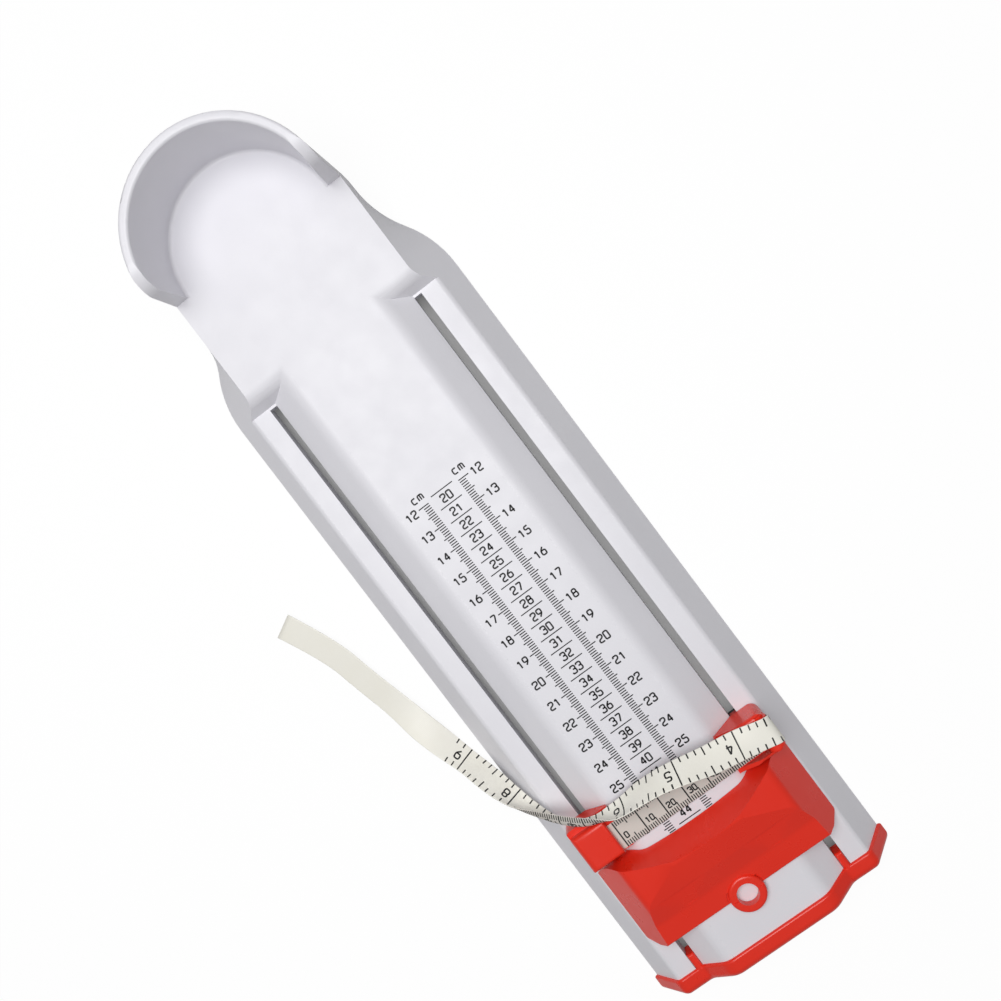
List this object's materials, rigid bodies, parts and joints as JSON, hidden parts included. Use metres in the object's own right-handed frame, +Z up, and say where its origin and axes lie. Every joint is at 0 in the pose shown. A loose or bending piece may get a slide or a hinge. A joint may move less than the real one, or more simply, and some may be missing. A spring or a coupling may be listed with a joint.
{
  "type": "foot measuring device",
  "caption": "Flat moulded foot gauge with a round heel cup, printed size scales, a sliding toe stop with a reading ring and a girth tape on its own slider.",
  "frame": {"origin": "on the table, under the middle of the body (measured without the loose tape)", "axes": "+X to the foot's right seen from above with the heel up, +Y towards the heel cup, +Z up"},
  "size_m": [0.151, 0.376, 0.06],
  "materials": {
    "white_abs": "white moulded ABS, fine satin",
    "red_abs": "red moulded ABS, satin gloss",
    "tape_cloth": "cream coated glass-fibre tape",
    "screw_steel": "zinc-plated steel",
    "spring_steel": "spring steel strip",
    "pad_rubber": "black rubber",
    "dark_abs": "black acetal slide plates"
  },
  "bodies": {
    "base": {"base_shell": "white_abs", "end_cap": "red_abs", "end_cap_screws": "screw_steel", "foot_pad_toe_left": "pad_rubber", "foot_pad_mid_left": "pad_rubber", "foot_pad_heel_left": "pad_rubber", "foot_pad_toe_right": "pad_rubber", "foot_pad_mid_right": "pad_rubber", "foot_pad_heel_right": "pad_rubber"},
    "toe_stop": {"toe_slider": "red_abs", "toe_keeper_left": "dark_abs", "toe_keeper_right": "dark_abs", "toe_keeper_screws": "screw_steel", "toe_drag_spring_left": "spring_steel", "toe_drag_spring_right": "spring_steel"},
    "tape_slider": {"tape_clamp_block": "red_abs", "tape_clamp_cap": "red_abs", "tape_guide_block": "red_abs", "tape_guide_pin": "red_abs", "slider_crossbar": "dark_abs", "crossbar_screws": "screw_steel", "tape_drag_spring_left": "spring_steel", "tape_drag_spring_right": "spring_steel", "measuring_tape": "tape_cloth"}
  },
  "joints": [
    {"name": "toe_stop_slide", "type": "slide", "parent": "base", "child": "toe_stop", "axis": [0, 1, 0], "range_m": [-0.009, 0.12]},
    {"name": "tape_slider_slide", "type": "slide", "parent": "toe_stop", "child": "tape_slider", "axis": [0, 1, 0], "range_m": [0, 0.07]}
  ]
}
